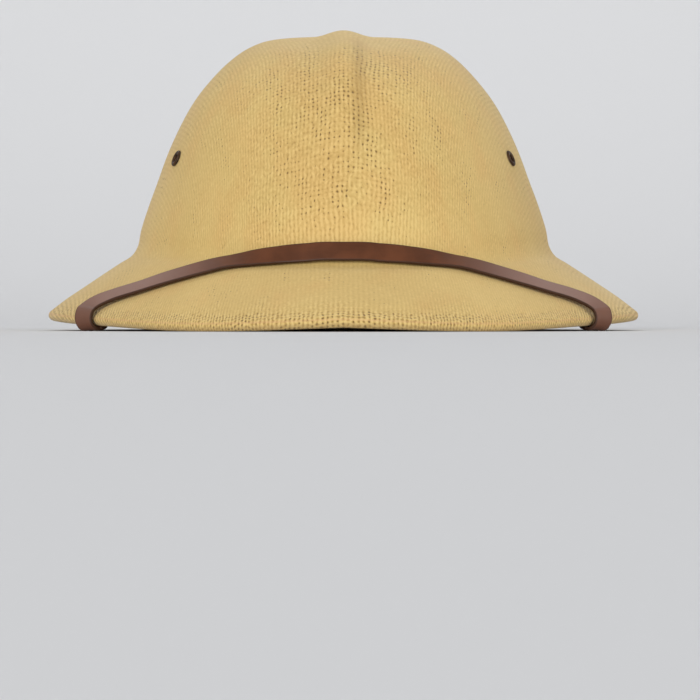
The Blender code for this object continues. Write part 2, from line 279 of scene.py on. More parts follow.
class StageSizes(bpy.types.PropertyGroup):
    camera_distance: length_property("Camera distance", "From the camera to the helmet's middle", 1.2)
    camera_height: length_property("Camera height", "Height of the camera over the floor", 0.005)
    lens: FloatProperty(name="Lens", description="Focal length in millimetres", default=128.83)
    aim_aside: length_property("Aim aside", "How far to the side the camera aims", 0.0031)
    aim_height: length_property("Aim height", "Height that the camera aims at", -0.0095)


def through(xs, ys, at):
    """Read a smooth curve through a few points at many places, along the last axis but one."""
    slopes = np.gradient(ys, xs, axis=-2)
    index = np.clip(np.searchsorted(xs, at) - 1, 0, len(xs) - 2)
    width = (xs[index + 1] - xs[index])[:, None]
    u = ((at - xs[index])[:, None]) / width
    start = (1 + 2 * u) * (1 - u) ** 2 * ys[..., index, :] + u * (1 - u) ** 2 * width * slopes[..., index, :]
    after = ys[..., index + 1, :]
    end = u * u * (3 - 2 * u) * after + u * u * (u - 1) * width * slopes[..., index + 1, :]
    return start + end


def through_values(xs, ys, at):
    """The same for single values."""
    return through(np.asarray(xs, float), np.asarray(ys, float)[:, None], np.ravel(at))[:, 0]


def column(rows, name):
    return np.array([getattr(row, name) for row in rows], float)


def blend(side, front, back, sine):
    """Go from a value at the sides to another in front or behind."""
    return side + (np.where(sine < 0, front, back) - side) * sine**2


def unit(vectors):
    return vectors / np.maximum(np.linalg.norm(vectors, axis=-1, keepdims=True), 1e-12)


def smooth(low, high, values):
    share = np.clip((values - low) / (high - low), 0, 1)
    return share * share * (3 - 2 * share)


class ShellForm:
    """The helmet's wall: a section for each angle, from the top outside round the rim to the top inside."""

    def __init__(self, sizes):
        self.sizes = sizes
        self.radius = sizes.rim_thickness / 2
        self.top = SHELL_HIGH.z - sizes.rib_height
        crown = np.arange(1, len(CROWN_ROWS) + 1) / (len(CROWN_ROWS) + 1)
        self.knot_levels = np.concatenate([[0], crown, 1 + column(BRIM_ROWS, "along")])
        sample = np.linspace(0, 2 * math.pi, 24, endpoint=False)
        knots = self.knots(sample)[0]
        steps = np.linalg.norm(np.diff(knots, axis=1), axis=-1).mean(axis=0)
        self.knot_way = np.concatenate([[0], np.cumsum(steps)])
        self.way = np.linspace(0, self.knot_way[-1], STRETCHES.outer + 1)
        self.outer_levels = np.interp(self.way, self.knot_way, self.knot_levels)
        self.inside = np.nonzero(self.outer_levels <= 1 + BRIM_INSIDE)[0][::-1]
        self.inside = np.unique(np.concatenate([self.inside[::INSIDE_EVERY], [0]]))[::-1]
        self.levels = np.concatenate(
            [
                self.outer_levels,
                2 + np.linspace(0, 1, STRETCHES.roll + 1)[1:],
                3 + 0.2 * np.linspace(0, 1, STRETCHES.hem + 1)[1:],
                3.2 + 0.05 * np.linspace(0, 1, STRETCHES.step + 1)[1:],
                np.linspace(3.25, 5 - self.outer_levels[self.inside[0]], STRETCHES.underside + 1)[1:-1],
                5 - self.outer_levels[self.inside],
            ]
        )

    def knots(self, angles):
        """Points of the outer face on each section, and what the rim needs."""
        sizes = self.sizes
        cosine = np.cos(angles)[:, None]
        sine = np.sin(angles)[:, None]
        half_length = sizes.crown_length / 2
        foot = blend(sizes.foot_side, sizes.foot_front, sizes.foot_back, sine)
        rise = column(CROWN_ROWS, "rise")
        ends = np.where(sine < 0, column(CROWN_ROWS, "front"), column(CROWN_ROWS, "back"))
        crown = np.stack(
            [
                sizes.crown_width / 2 * column(CROWN_ROWS, "side") * cosine,
                half_length * ends * sine + sizes.crown_middle,
                foot + rise * (self.top - foot),
            ],
            axis=-1,
        )
        turn = np.degrees(np.arccos(np.clip(-sine[:, 0], -1, 1)))
        lift = through_values(column(RIM_ROWS, "turn"), column(RIM_ROWS, "lift"), turn)[:, None]
        lift = sizes.rim_lift * np.maximum(lift, 0)
        heel = np.concatenate(
            [sizes.crown_width / 2 * cosine, half_length * sine + sizes.crown_middle, foot], axis=-1
        )
        centre = np.concatenate(
            [
                (SHELL_HIGH.x - self.radius) * cosine,
                (SHELL_HIGH.y - self.radius) * sine,
                lift + self.radius,
            ],
            axis=-1,
        )
        across = centre - heel
        run = np.linalg.norm(across[:, :2], axis=-1, keepdims=True)
        reach = np.linalg.norm(across, axis=-1, keepdims=True)
        slope = np.arctan2(across[:, 2:], run) + np.arcsin(self.radius / reach)
        length = np.sqrt(reach**2 - self.radius**2)
        out = across[:, :2] / run
        along = np.concatenate([out * np.cos(slope), np.sin(slope)], axis=-1)
        normal = np.concatenate([-out * np.sin(slope), np.cos(slope)], axis=-1)
        shares = column(BRIM_ROWS, "along")[None, :, None]
        bulges = column(BRIM_ROWS, "bulge")[None, :, None]
        brim = heel[:, None] + along[:, None] * shares * length[:, None]
        brim = brim + normal[:, None] * bulges * sizes.brim_bulge
        apex = np.broadcast_to([0, sizes.crown_middle, self.top], (len(angles), 1, 3))
        return np.concatenate([apex, crown, brim], axis=1), heel, centre, along, normal, length

    def outer(self, angles):
        return through(self.knot_way, self.knots(angles)[0], self.way)

    def grid(self, angles):
        """Points of the whole section at each angle."""
        sizes = self.sizes
        step = 1.0e-3
        _, heel, centre, along, normal, length = self.knots(angles)
        outer = self.outer(angles)
        round_it = self.outer(angles + step) - self.outer(angles - step)
        down_it = np.gradient(outer, axis=1)
        facing = unit(np.cross(down_it, round_it))
        facing[:, 0] = (0, 0, 1)

        foot = heel[:, 2:]
        rise = (outer[..., 2] - foot) / (self.top - foot)
        fade = (rise - sizes.rib_gone_below) / (sizes.rib_full_above - sizes.rib_gone_below)
        fade = np.clip(fade, 0, 1) * (self.outer_levels < 1)
        sideways = np.clip(outer[..., 0] / sizes.rib_width, -0.5, 0.5)
        rib = sizes.rib_height * np.cos(math.pi * sideways) ** 2 * fade**2 * (3 - 2 * fade)
        outer = outer + (rib + self.wander(outer))[..., None] * facing

        bends = np.linspace(0, math.pi, STRETCHES.roll + 1)[1:, None]
        roll = centre[:, None] + self.radius * (
            normal[:, None] * np.cos(bends) + along[:, None] * np.sin(bends)
        )
        shares = np.linspace(0, 1, STRETCHES.hem + 1)[1:, None]
        hem = roll[:, -1:] - along[:, None] * sizes.hem_width * shares
        step_up = heel + along * (length - sizes.hem_width - sizes.hem_step) - normal * sizes.wall
        shares = smooth(0, 1, np.linspace(0, 1, STRETCHES.step + 1)[1:, None])
        flat = np.linspace(0, 1, STRETCHES.step + 1)[1:, None]
        rise_up = ((step_up - hem[:, -1]) * normal).sum(axis=-1)[:, None, None]
        inward = ((step_up - hem[:, -1]) * along).sum(axis=-1)[:, None, None]
        stepped = hem[:, -1:] + normal[:, None] * rise_up * shares + along[:, None] * inward * flat
        inner = (outer - sizes.wall * facing)[:, self.inside]
        shares = np.linspace(0, 1, STRETCHES.underside + 1)[1:-1, None]
        under = stepped[:, -1:] * (1 - shares) + inner[:, :1] * shares
        return np.concatenate([outer, roll, hem, stepped, under, inner], axis=1)

    def wander(self, points):
        """How far a pressed wall, which is never quite true, stands out at each of these points."""
        waves = np.random.default_rng(WANDER_SEED).normal(size=(WANDER_WAVES, 4))
        size = np.linspace(1, 3, WANDER_WAVES)[:, None]
        turns = points @ (waves[:, :3] / WANDER_LENGTH * size).T + waves[:, 3] * math.pi
        moved = (np.sin(turns) / size[:, 0]).sum(axis=-1) / math.sqrt(WANDER_WAVES)
        return self.sizes.unevenness * moved * (1 - smooth(1.6, 1.95, self.outer_levels))

    def skin(self, turn, level, reach):
        """A point on the shell, and the mean direction that it faces within this reach of it."""
        angle = turn - math.pi / 2
        wide = reach / SHELL_HIGH.x
        grid = self.grid(np.array([angle - wide, angle, angle + wide]))
        step = reach / (SHELL_HIGH.x - self.sizes.crown_width / 2)

        def at(row, where):
            return np.array([np.interp(where, self.levels, grid[row, :, axis]) for axis in range(3)])

        facing = unit(np.cross(at(1, level + step) - at(1, level - step), at(2, level) - at(0, level)))
        return at(1, level), facing


def new_object(name, made):
    """Turn a bmesh into an object of the scene, shaded smooth."""
    mesh = bpy.data.meshes.new(name)
    made.to_mesh(mesh)
    made.free()
    mesh.shade_smooth()
    obj = bpy.data.objects.new(name, mesh)
    bpy.context.scene.collection.objects.link(obj)
    return obj


def hand_over(obj, slot, *nodes):
    """Let a finished piece ride on the body and stand for the solids of the frame."""
    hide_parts(*nodes)
    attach(obj, "root")


def spin_round(made, steps):
    """Spin what a bmesh holds all the way round the Z axis, and close its seam and poles."""
    bmesh.ops.spin(
        made,
        geom=made.verts[:] + made.edges[:],
        cent=(0, 0, 0),
        axis=(0, 0, 1),
        angle=2 * math.pi,
        steps=steps,
        use_merge=True,
    )
    bmesh.ops.remove_doubles(made, verts=made.verts[:], dist=MERGED)


def polar_sheet(rows, columns):
    """A flat round sheet of unit radius, whose rings become the rows of a section."""
    made = bmesh.new()
    start = made.verts.new((0, 0, 0))
    end = made.verts.new((1, 0, 0))
    edge = made.edges.new((start, end))
    bmesh.ops.subdivide_edges(made, edges=[edge], cuts=rows - 1)
    spin_round(made, columns)
    return made


def build_shell(sizes):
    form = ShellForm(sizes)
    rows = len(form.levels) - 1
    made = polar_sheet(rows, COLUMNS)
    angles = np.linspace(0, 2 * math.pi, COLUMNS, endpoint=False)
    grid = form.grid(angles)

    row_layer = made.verts.layers.int.new("row")
    column_layer = made.verts.layers.int.new("column")
    places = []
    for vert in made.verts:
        row = round(vert.co.xy.length * rows)
        place = round(math.atan2(vert.co.y, vert.co.x) / (2 * math.pi) * COLUMNS) % COLUMNS
        vert[row_layer] = row
        vert[column_layer] = place
        places.append((place, row))
    places = np.array(places)
    for vert, (place, row) in zip(made.verts, places):
        vert.co = grid[place, row]
    bmesh.ops.remove_doubles(made, verts=made.verts[:], dist=MERGED)
    bmesh.ops.recalc_face_normals(made, faces=made.faces[:])
    obj = new_object("straw_shell", made)
    lay_cloth(obj.data, form, grid, sizes.thread_pitch)
    return obj


def cloth_places(grid, rows, pitch):
    """Where each point of some rows lies on the flat cloth, counted in threads from the middle."""
    part = grid[:, rows]
    steps = np.linalg.norm(np.diff(part, axis=1), axis=-1)
    steps = (steps + np.roll(steps, COLUMNS // 2, axis=0)) / 2
    way = np.concatenate([np.zeros((COLUMNS, 1)), np.cumsum(steps, axis=1)], axis=1)
    angles = np.linspace(0, 2 * math.pi, COLUMNS, endpoint=False)[:, None]
    front = 3 * COLUMNS // 4
    spacing = np.linalg.norm(part[front + 1] - part[front - 1], axis=-1) / (4 * math.pi / COLUMNS)
    squeeze = np.clip(CLOSER_IN_FRONT * spacing / np.maximum(way[front], 1e-4) - 1, -MOST_CLOSED, 0)
    turned = angles + squeeze[None] / 4 * np.sin(4 * angles)
    return np.stack([way * np.cos(turned), way * np.sin(turned)], axis=-1) / pitch


def lay_cloth(mesh, form, grid, pitch):
    """Give the shell its cloth coordinates and the values that the straw finish reads."""
    rows = grid.shape[1] - 1
    seam = int(np.argmax(form.levels >= 3.25 - 1e-9))
    outside = np.zeros(grid.shape[:2] + (2,))
    outside[:, : seam + 1] = cloth_places(grid, np.arange(seam + 1), pitch)
    inside = np.zeros_like(outside)
    inside[:, seam:] = cloth_places(grid, np.arange(rows, seam - 1, -1), pitch)[:, ::-1]

    count = len(mesh.vertices)
    row = np.zeros(count, np.int32)
    place = np.zeros(count, np.int32)
    mesh.attributes["row"].data.foreach_get("value", row)
    mesh.attributes["column"].data.foreach_get("value", place)
    corners = np.zeros(len(mesh.loops), np.int32)
    mesh.loops.foreach_get("vertex_index", corners)
    starts = np.zeros(len(mesh.polygons), np.int32)
    totals = np.zeros(len(mesh.polygons), np.int32)
    mesh.polygons.foreach_get("loop_start", starts)
    mesh.polygons.foreach_get("loop_total", totals)
    highest = np.maximum.reduceat(row[corners], starts)
    within = np.repeat(highest > seam, totals)
    places = np.where(within[:, None], inside[place, row][corners], outside[place, row][corners])
    layer = mesh.uv_layers.new(name="cloth")
    layer.uv.foreach_set("vector", places.astype(np.float32).ravel())

    # Distance from the edge of the rim, over the brim
    steps = np.linalg.norm(np.diff(grid, axis=1), axis=-1).mean(axis=0)
    way = np.concatenate([[0], np.cumsum(steps)])
    edge = np.interp(2.5, form.levels, way)
    lip = mesh.attributes.new("lip", "FLOAT", "POINT")
    lip.data.foreach_set("value", (edge - way)[row].astype(np.float32))

    across, along, height = grid[place, row].T
    for trait in TRAITS:
        values = np.exp(-(((across - trait.middle) / trait.width) ** 2)) * (row <= seam)
        values = values * smooth(trait.back, trait.front, along) * smooth(trait.foot, trait.above, height)
        values = values * (1 - trait.fade * smooth(trait.below, trait.top, height))
        layer = mesh.attributes.new(trait.name, "FLOAT", "POINT")
        layer.data.foreach_set("value", values.astype(np.float32))
    mesh.attributes.remove(mesh.attributes["row"])
    mesh.attributes.remove(mesh.attributes["column"])


def strap_line(form, sizes):
    """Closely spaced points along the strap's middle, with the way that the shell faces there."""
    rows = STRAP_ROWS[:0:-1] + STRAP_ROWS
    places = np.arange(len(rows)) - len(STRAP_ROWS) + 1.0
    side = np.where(places < 0, -1, 1)
    fine = np.linspace(places[0], places[-1], STRAP_FINENESS * (len(rows) - 1) + 1)
    levels = through_values(places, column(rows, "level"), fine)
    turns = through_values(places, np.radians(side * column(rows, "turn")), fine)
    clearances = np.maximum(through_values(places, column(rows, "clearance"), fine), 0) * sizes.width
    leans = np.radians(through_values(places, column(rows, "lean"), fine))
    points = []
    facings = []
    for turn, level, clearance in zip(turns, levels, clearances):
        # A short reach keeps the bend over the rim crisp
        reach = sizes.width / 4 if level < 2 else sizes.width / 12
        point, facing = form.skin(turn, level, reach)
        points.append(point + facing * (sizes.gap + sizes.thickness / 2 + clearance))
        facings.append(facing)
    points = np.array(points)
    facings = np.array(facings)
    for place, row in enumerate(STRAP_ROWS):
        if not row.taut:
            continue
        for first in (place, -place - 1):
            start = (first + len(STRAP_ROWS) - 1) * STRAP_FINENESS
            run = slice(start, start + STRAP_FINENESS + 1)
            share = np.linspace(0, 1, STRAP_FINENESS + 1)[:, None]
            for line in (points, facings):
                line[run] = line[run][0] * (1 - share) + line[run][-1] * share
    return points, unit(facings), leans


def strap_stations(form, sizes):
    """Points along the strap's middle, the way across it and the way it faces, closer together on bends."""
    points, facings, leans = strap_line(form, sizes)
    moved = np.linalg.norm(np.diff(points, axis=0), axis=1)
    bent = np.linalg.norm(np.diff(facings, axis=0), axis=1)
    way = np.concatenate([[0], np.cumsum(moved + sizes.width * bent)])
    length = np.concatenate([[0], np.cumsum(moved)])
    stops = np.linspace(0, way[-1], STRAP_SPANS + 1)
    points = np.stack([np.interp(stops, way, points[:, axis]) for axis in range(3)], axis=1)
    facings = np.stack([np.interp(stops, way, facings[:, axis]) for axis in range(3)], axis=1)
    leans = np.interp(stops, way, leans)[:, None]
    ahead = unit(np.gradient(points, axis=0))
    across = unit(np.cross(facings, ahead))
    facings = np.cross(ahead, across)
    leaning = across * np.cos(leans) - facings * np.sin(leans)
    facings = facings * np.cos(leans) + across * np.sin(leans)
    return points, leaning, facings, np.interp(stops, way, length)


def build_strap(form, sizes):
    """A tube of faces drawn along the strap's way, with rounded cut edges."""
    points, across, facings, length = strap_stations(form, sizes)
    made = bmesh.new()
    raised = Matrix.Translation((0, 0, 0.5))
    bmesh.ops.create_cone(
        made, cap_ends=True, segments=STRAP_AROUND, radius1=1, radius2=1, depth=1, matrix=raised
    )
    upright = [edge for edge in made.edges if abs(edge.verts[0].co.z - edge.verts[1].co.z) > 0.5]
    bmesh.ops.subdivide_edges(made, edges=upright, cuts=STRAP_SPANS - 1, use_grid_fill=True)
    places = made.verts.layers.float_vector.new("place")
    half = sizes.width / 2
    thick = sizes.thickness / 2
    flat = 4 / STRAP_AROUND
    for vert in made.verts:
        station = round(vert.co.z * STRAP_SPANS)
        turn = math.atan2(vert.co.y, vert.co.x)
        side = abs(math.cos(turn)) ** flat * math.copysign(1, math.cos(turn))
        face = abs(math.sin(turn)) ** flat * math.copysign(1, math.sin(turn))
        vert[places] = (length[station] - length[-1] / 2, half * side, thick * face)
        spot = points[station] + across[station] * half * side + facings[station] * thick * face

        # The strap rests on the floor where it would go below it
        vert.co = (spot[0], spot[1], max(spot[2], 0.0))
    bmesh.ops.recalc_face_normals(made, faces=made.faces[:])
    return new_object("leather_strap", made)


def node_points(name):
    return np.array([vert.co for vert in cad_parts[name].data.vertices])


def node_axis(name, away_from):
    """The middle of a round node of the frame, its axis, away from a point, and its reach along the axis."""
    points = node_points(name)
    low, high = points.min(axis=0), points.max(axis=0)
    middle = (low + high) / 2
    _, spreads, axes = np.linalg.svd(points - points.mean(axis=0), full_matrices=False)
    axis = axes[0] if spreads[0] - spreads[1] > spreads[1] - spreads[2] else axes[2]
    if axis @ (middle - np.array(away_from)) < 0:
        axis = -axis
    return Vector(middle), Vector(axis), float(((points - middle) @ axis).max())


def turned_piece(name, profile, placing):
    """A round piece from half its section, as radius and height, spun round its axis and put in place."""
    made = bmesh.new()
    verts = [made.verts.new((radius, 0, height)) for radius, height in profile]
    for first, second in zip(verts, verts[1:] + verts[:1]):
        if first.co.x > 0 or second.co.x > 0:
            made.edges.new((first, second))
    spin_round(made, TURNED_STEPS)
    bmesh.ops.recalc_face_normals(made, faces=made.faces[:])
    bmesh.ops.transform(made, matrix=placing, verts=made.verts[:])
    obj = new_object(name, made)
    obj.data.set_sharp_from_angle(angle=math.radians(50))
    return obj


def arc(start, end, steps):
    """Points on a circle of unit radius, from one angle to another."""
    return [(math.cos(turn), math.sin(turn)) for turn in np.radians(np.linspace(start, end, steps + 1))]


class Nodes:
    """Adds the nodes of one finish and links them."""

    def __init__(self, name):
        self.material = bpy.data.materials.new(name)
        self.material.use_nodes = True
        self.tree = self.material.node_tree
        self.shader = self.tree.nodes["Principled BSDF"]

    def put(self, value, socket):
        if isinstance(value, bpy.types.NodeSocket):
            self.tree.links.new(value, socket)
        else:
            socket.default_value = value

    def add(self, kind, inputs=None, **settings):
        node = self.tree.nodes.new(kind)
        for name, value in settings.items():
            setattr(node, name, value)
        for name, value in (inputs or {}).items():
            self.put(value, node.inputs[name])
        return node

    def maths(self, operation, *values, kind="ShaderNodeMath"):
        node = self.add(kind, operation=operation)
        for value, socket in zip(values, node.inputs):
            self.put(value, socket)
        return node.outputs[0]

    def vector_maths(self, operation, *values):
        return self.maths(operation, *values, kind="ShaderNodeVectorMath")

    def times(self, first, second):
        return self.maths("MULTIPLY", first, second)

    def centred(self, value):
        return self.maths("SUBTRACT", value, 0.5)

    def total(self, value, *parts):
        """A value with a share of each of these others added."""
        for other, share in parts:
            value = self.maths("MULTIPLY_ADD", other, share, value)
        return value

    def span(self, value, low, high, start=0.0, end=1.0):
        """Map a value from one range to another, smoothly."""
        node = self.add("ShaderNodeMapRange", interpolation_type="SMOOTHSTEP")
        for given, socket in zip((value, low, high, start, end), node.inputs):
            self.put(given, socket)
        return node.outputs[0]

    def mix(self, factor, first, second, blend_type="MIX"):
        node = self.add("ShaderNodeMix", data_type="RGBA", blend_type=blend_type)
        for name, value in ((0, factor), (6, first), (7, second)):
            self.put(value, node.inputs[name])
        return node.outputs[2]

    def noise(self, place, scale, detail=2.0, stretch=None):
        if stretch:
            place = self.vector_maths("MULTIPLY", place, stretch)
        node = self.add("ShaderNodeTexNoise", {"Vector": place, "Scale": scale, "Detail": detail})
        return node.outputs[0]

    def random(self, place):
        node = self.add("ShaderNodeTexWhiteNoise", {"Vector": place}, noise_dimensions="3D")
        return node.outputs[0]

    def combine(self, x, y, z=0.0):
        node = self.add("ShaderNodeCombineXYZ", {"X": x, "Y": y, "Z": z})
        return node.outputs[0]

    def attribute(self, name):
        return self.add("ShaderNodeAttribute", attribute_name=name).outputs["Fac"]

    def finish(self, colour, roughness, height=None, distance=0.0003, strength=1.0, metallic=0.0):
        self.put(colour, self.shader.inputs["Base Color"])
        self.put(roughness, self.shader.inputs["Roughness"])
        self.shader.inputs["Metallic"].default_value = metallic
        if height is not None:
            bump = self.add("ShaderNodeBump", {"Height": height, "Strength": strength, "Distance": distance})
            self.put(bump.outputs[0], self.shader.inputs["Normal"])
        return self.material


def rgba(colour):
    return (*colour, 1.0)


Cloth = namedtuple(
    "Cloth", "place u v across_rib across_row gap_number lip band streaks openness ribbed steady"
)


def straw_cloth(nodes):
    """Where a point lies on the cloth, counted in threads, and which traits the shell gives it there."""
    place = nodes.add("ShaderNodeUVMap", uv_map="cloth").outputs[0]
    for scale, detail, reach in ((0.05, 3.0, 2.4), (0.7, 1.0, 0.6)):
        wind = nodes.add("ShaderNodeTexNoise", {"Vector": place, "Scale": scale, "Detail": detail})
        sway = nodes.vector_maths("SUBTRACT", wind.outputs[1], (0.5, 0.5, 0.5))
        place = nodes.vector_maths("ADD", place, nodes.vector_maths("MULTIPLY", sway, (reach, reach, 0.0)))
    split = nodes.add("ShaderNodeSeparateXYZ", {"Vector": place})
    u = split.outputs[0]
    gap_number = nodes.maths("ROUND", u)
    lip = nodes.attribute("lip")
    band = nodes.span(lip, *RIM_BAND)
    openness = nodes.attribute("openness")
    ribbed = nodes.attribute("ribbed")

    # Along the rim each column is shifted against the next, which makes the threads knobbly
    shift = nodes.times(nodes.random(nodes.combine(gap_number, 4.0, 7.0)), band)
    v = nodes.total(nodes.times(split.outputs[1], ROW_SHARE), (shift, 0.8))
    return Cloth(
        place=place,
        u=u,
        v=v,
        across_rib=nodes.maths("PINGPONG", u, 0.5),
        across_row=nodes.maths("PINGPONG", v, 0.5),
        gap_number=gap_number,
        lip=lip,
        band=band,
        streaks=nodes.span(lip, *RIM_STREAKS),
        openness=openness,
        ribbed=ribbed,
        steady=nodes.maths("MAXIMUM", nodes.maths("SUBTRACT", ribbed, openness), 0.0),
    )


def thread_relief(nodes, cloth):
    """Ribs and finer rows, clear over the front of the crown and along the rim and faint elsewhere."""
    patches = nodes.noise(cloth.place, 0.11, 3.0, (1.0, 0.6, 1.0))
    clear = nodes.centred(patches)
    clear = nodes.total(clear, (cloth.ribbed, 0.62), (cloth.band, 0.55), (cloth.streaks, 0.30))
    clear = nodes.span(clear, -0.05, 0.75, 0.42, 1.12)
    rib_number = nodes.maths("FLOOR", cloth.u)
    dashes = nodes.noise(nodes.combine(rib_number, nodes.times(cloth.v, 0.42), 3.0), 1.0, 2.0)
    rib_strength = nodes.span(dashes, 0.25, 0.75, 0.14, 0.50)
    rib_strength = nodes.total(rib_strength, (cloth.steady, 0.22), (cloth.streaks, 0.16))
    row_strength = nodes.total(0.04, (cloth.band, 0.22), (cloth.openness, 0.06))
    ribs = nodes.times(nodes.centred(nodes.span(cloth.across_rib, 0.03, 0.47)), rib_strength)
    rows = nodes.times(nodes.centred(nodes.span(cloth.across_row, 0.03, 0.47)), row_strength)
    fuzz = nodes.noise(cloth.place, 1.7, 2.0, (1.0, 0.75, 1.0))
    weave = nodes.maths("ADD", ribs, rows)
    weave = nodes.total(weave, (nodes.centred(fuzz), 1.3), (nodes.centred(dashes), 0.7))
    return nodes.times(nodes.times(weave, clear), nodes.total(1.0, (cloth.band, 0.5)))


def small_holes(nodes, cloth):
    """Small holes that stand in columns between the ribs, in clusters where the weave is stretched."""
    narrow = nodes.maths("DIVIDE", cloth.across_rib, 0.22)
    corner = nodes.combine(narrow, nodes.maths("DIVIDE", cloth.across_row, 0.26))
    corner = nodes.add("ShaderNodeVectorMath", {0: corner}, operation="LENGTH").outputs["Value"]
    chance = nodes.random(nodes.combine(cloth.gap_number, nodes.maths("ROUND", cloth.v), 2.0))
    clusters = nodes.noise(cloth.place, 0.15, 3.0, (1.0, 0.5, 1.0))
    columns = nodes.noise(nodes.combine(cloth.gap_number, nodes.times(cloth.v, 0.13), 9.0), 1.0, 1.0)
    place = nodes.add("ShaderNodeTexCoord").outputs["Object"]
    aside = nodes.add("ShaderNodeSeparateXYZ", {"Vector": place}).outputs[0]
    aside = nodes.span(nodes.maths("ABSOLUTE", aside), *RIM_SIDE)
    size = nodes.times(cloth.band, nodes.total(0.36, (aside, -0.30)))
    size = nodes.total(size, (cloth.openness, 0.34), (clusters, 1.5), (columns, 0.5), (chance, 0.45))
    size = nodes.span(size, 1.30, 1.84, 0.0, 1.05)
    return nodes.span(nodes.maths("SUBTRACT", corner, size), 0.15, -0.50)


def straw_colour(nodes, cloth, weave, hole, colours):
    """Light threads over deep gaps, with uneven rows, cloudy and warmer patches, painted shade down the
    rib's flank, and painted shade over the rim's lip and underside.
    """
    cloud = nodes.noise(cloth.place, 0.03, 4.0)
    along_row = nodes.combine(nodes.times(cloth.u, 0.14), nodes.maths("FLOOR", cloth.v), 5.0)
    slub = nodes.noise(along_row, 1.0, 1.0)
    lightness = nodes.total(nodes.maths("ADD", weave, 0.5), (cloth.steady, 0.22))
    lightness = nodes.total(lightness, (nodes.centred(slub), 0.18), (nodes.centred(cloud), 0.55))
    colour = nodes.mix(nodes.span(lightness, 0.30, 1.00), rgba(colours.straw), rgba(colours.straw_light))
    colour = nodes.mix(nodes.span(lightness, 0.45, -0.15, 0.0, 0.75), colour, rgba(colours.straw_deep_and_painted_shade))
    tint = nodes.noise(cloth.place, 0.09, 2.0, (1.0, 1.0, 2.0))
    warm = nodes.total(0.1, (cloth.ribbed, 0.55), (nodes.centred(tint), 2.6))
    colour = nodes.mix(nodes.span(warm, 0.0, 1.0), colour, rgba(colours.straw_warm), "MULTIPLY")
    # Painted shade: the band down the rib's right flank is mixed towards the deep straw colour
    colour = nodes.mix(nodes.times(nodes.attribute("crease"), 0.36), colour, rgba(colours.straw_deep_and_painted_shade))
    colour = nodes.mix(nodes.times(hole, 0.84), colour, rgba(colours.hole))

    # Painted shade: the lip of the rim, and past it the underside and the inside, are a little darker and
    # greyer, under a faint reddish line
    colour = nodes.mix(nodes.span(cloth.lip, *LIP_PAINTED_SHADE, 0.0, 0.35), colour, rgba(colours.lip))
    line = nodes.times(nodes.span(cloth.lip, *LINE_BELOW), nodes.span(cloth.lip, *LINE_ABOVE))
    return nodes.mix(nodes.times(line, 0.40), colour, rgba(colours.rim_line))


def straw_finish(colours):
    """Woven straw with a little fuzz."""
    nodes = Nodes("woven_straw")
    cloth = straw_cloth(nodes)
    weave = thread_relief(nodes, cloth)
    hole = small_holes(nodes, cloth)
    colour = straw_colour(nodes, cloth, weave, hole, colours)
    material = nodes.finish(colour, 0.75, nodes.total(weave, (hole, -0.5)), distance=0.0003, strength=0.6)
    nodes.shader.inputs["Sheen Weight"].default_value = 0.15
    nodes.shader.inputs["Sheen Roughness"].default_value = 0.5
    nodes.shader.inputs["Specular IOR Level"].default_value = 0.3
    return material


def leather_finish(colours, sizes):
    """Smooth brown leather: fine grain, darker dyed edges, and a painted sheen, paler and greyer, where it
    lies over the brim.
    """
    nodes = Nodes("strap_leather")
    place = nodes.add("ShaderNodeAttribute", attribute_name="place").outputs["Vector"]
    split = nodes.add("ShaderNodeSeparateXYZ", {"Vector": place})
    across = nodes.maths("ABSOLUTE", split.outputs[1])
    edge = nodes.span(across, sizes.width * 0.42, sizes.width * 0.485)
    grain = nodes.add("ShaderNodeTexVoronoi", {"Vector": place, "Scale": 2600.0}).outputs[0]
    cloud = nodes.noise(place, 70.0, 4.0)
    streaks = nodes.noise(place, 1.0, 3.0, (60.0, 900.0, 60.0))
    light = rgba(channel * 1.25 for channel in colours.leather)
    dark = rgba(channel * 0.85 for channel in colours.leather)
    colour = nodes.mix(nodes.span(cloud, 0.35, 0.7), dark, light)
    colour = nodes.mix(nodes.span(streaks, 0.45, 0.75, 0.0, 0.3), colour, light)
    along = nodes.maths("ABSOLUTE", split.outputs[0])
    # Painted sheen: paler and greyer where the strap lies over the brim, fading again at the rim
    pale = nodes.times(nodes.span(along, *PAINTED_SHEEN_OVER_BRIM), nodes.span(along, *SHEEN_FADES_AT_RIM, 1.0, 0.15))
    colour = nodes.mix(pale, colour, rgba(colours.leather_painted_sheen))
    colour = nodes.mix(edge, colour, rgba(colours.leather_edge))
    height = nodes.total(nodes.times(cloud, 0.6), (grain, 0.5))
    roughness = nodes.span(cloud, 0.3, 0.7, 0.40, 0.52)
    material = nodes.finish(colour, roughness, height, distance=0.00006, strength=0.6)
    nodes.shader.inputs["Specular IOR Level"].default_value = 0.25
    return material


def bronze_finish(colours):
    """Dark aged bronze, brighter where it is rubbed."""
    nodes = Nodes("aged_bronze")
    place = nodes.add("ShaderNodeTexCoord").outputs["Object"]
    cloud = nodes.noise(place, 500.0, 3.0)
    dark = rgba(channel * 0.6 for channel in colours.bronze)
    light = rgba(channel * 1.3 for channel in colours.bronze)
    colour = nodes.mix(nodes.span(cloud, 0.38, 0.66), dark, light)
    roughness = nodes.span(cloud, 0.3, 0.7, 0.60, 0.42)
    return nodes.finish(colour, roughness, cloud, distance=0.00003, strength=0.4, metallic=0.5)


def floor_finish():
    nodes = Nodes("pale_floor")
    return nodes.finish(rgba(FLOOR_COLOUR), 0.9)


